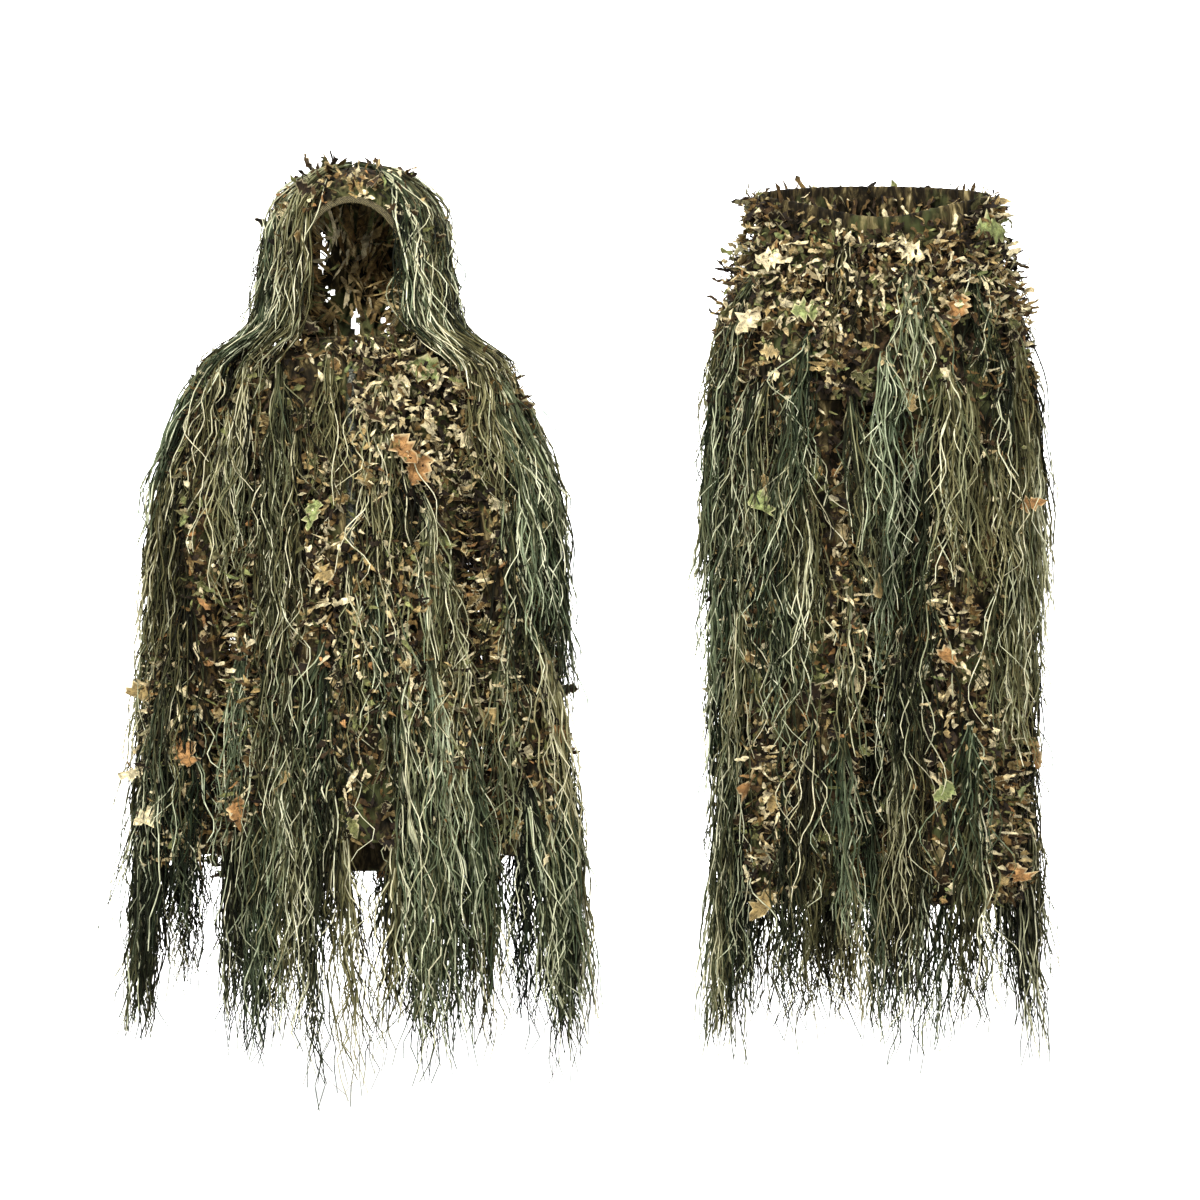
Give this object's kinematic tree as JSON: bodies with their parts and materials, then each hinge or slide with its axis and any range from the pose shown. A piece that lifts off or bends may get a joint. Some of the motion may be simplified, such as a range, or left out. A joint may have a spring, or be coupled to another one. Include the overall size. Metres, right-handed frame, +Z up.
{
  "type": "ghillie suit",
  "caption": "Two-piece camouflage suit: a hooded zip jacket and elastic-waist trousers of leaf-cut cloth, hung all over with tufts of loose yarn.",
  "frame": {"origin": "centre of the jacket's neck ring, level with the top of the shoulders", "axes": "+Z up, the garments face -Y, +X towards the wearer's left, where the trousers hang beside the jacket"},
  "size_m": [1.4068, 0.4045, 1.3685],
  "materials": {
    "leaf_cloth": "warp-knit polyester printed as bark and leaves, with laser-cut leaf flakes",
    "yarn": "loose textured polyester yarn in mixed greens and greys",
    "binding_tape": "woven polyester tape",
    "zip_tape": "woven polyester zip tape",
    "zip_plastic": "moulded acetal",
    "zip_metal": "lacquered zinc die casting",
    "elastic": "covered elastic tape",
    "gusset_mesh": "knitted polyester mesh"
  },
  "bodies": {
    "jacket": {"back_panel": "leaf_cloth", "back_yarn_left": "yarn", "back_yarn_right": "yarn", "front_panel_left": "leaf_cloth", "front_panel_right": "leaf_cloth", "front_yarn_left": "yarn", "front_yarn_right": "yarn", "hanger_loop": "binding_tape", "neck_binding": "binding_tape", "zip_end_box": "zip_plastic", "zip_end_pin": "zip_plastic", "zip_tape_left": "zip_tape", "zip_tape_right": "zip_tape", "zip_teeth_left": "zip_plastic", "zip_teeth_right": "zip_plastic", "zip_top_stops": "zip_plastic"},
    "hood": {"hood_centre_panel": "leaf_cloth", "hood_face_binding": "binding_tape", "hood_side_left": "leaf_cloth", "hood_side_right": "leaf_cloth", "hood_yarn_left": "yarn", "hood_yarn_right": "yarn"},
    "sleeve_right": {"cuff_elastic_right": "elastic", "sleeve_right": "leaf_cloth", "sleeve_yarn_right": "yarn"},
    "sleeve_left": {"cuff_elastic_left": "elastic", "sleeve_left": "leaf_cloth", "sleeve_yarn_left": "yarn"},
    "slider": {"zip_slider": "zip_metal"},
    "pull": {"zip_pull": "zip_metal"},
    "trousers": {"ankle_elastic_left": "elastic", "ankle_elastic_right": "elastic", "crotch_gusset": "gusset_mesh", "hip_yarn_left": "yarn", "hip_yarn_right": "yarn", "leg_left": "leaf_cloth", "leg_right": "leaf_cloth", "leg_yarn_left": "yarn", "leg_yarn_right": "yarn", "seat_back": "leaf_cloth", "seat_front": "leaf_cloth", "waist_elastic": "elastic", "waistband_casing": "leaf_cloth"}
  },
  "joints": [
    {"name": "hood_fold_back", "type": "hinge", "parent": "jacket", "child": "hood", "pos_m": [0, 0.086, 0.004], "axis": [-1, 0, 0], "range_deg": [0, 90]},
    {"name": "sleeve_lift_right", "type": "hinge", "parent": "jacket", "child": "sleeve_right", "pos_m": [-0.19, 0, -0.028], "axis": [-1, 0, 0], "range_deg": [0, 90]},
    {"name": "sleeve_lift_left", "type": "hinge", "parent": "jacket", "child": "sleeve_left", "pos_m": [0.19, 0, -0.028], "axis": [-1, 0, 0], "range_deg": [0, 90]},
    {"name": "zip_slide", "type": "slide", "parent": "jacket", "child": "slider", "axis": [0, -0.0691, -0.9976], "range_m": [0, 0.655]},
    {"name": "pull_swing", "type": "hinge", "parent": "slider", "child": "pull", "pos_m": [0, -0.10018, -0.05079], "axis": [-1, 0, 0], "range_deg": [0, 150]},
    {"name": "trousers_lift_off", "type": "slide", "parent": "jacket", "child": "trousers", "axis": [0, 0, 1], "range_m": [0, 0.15]}
  ]
}
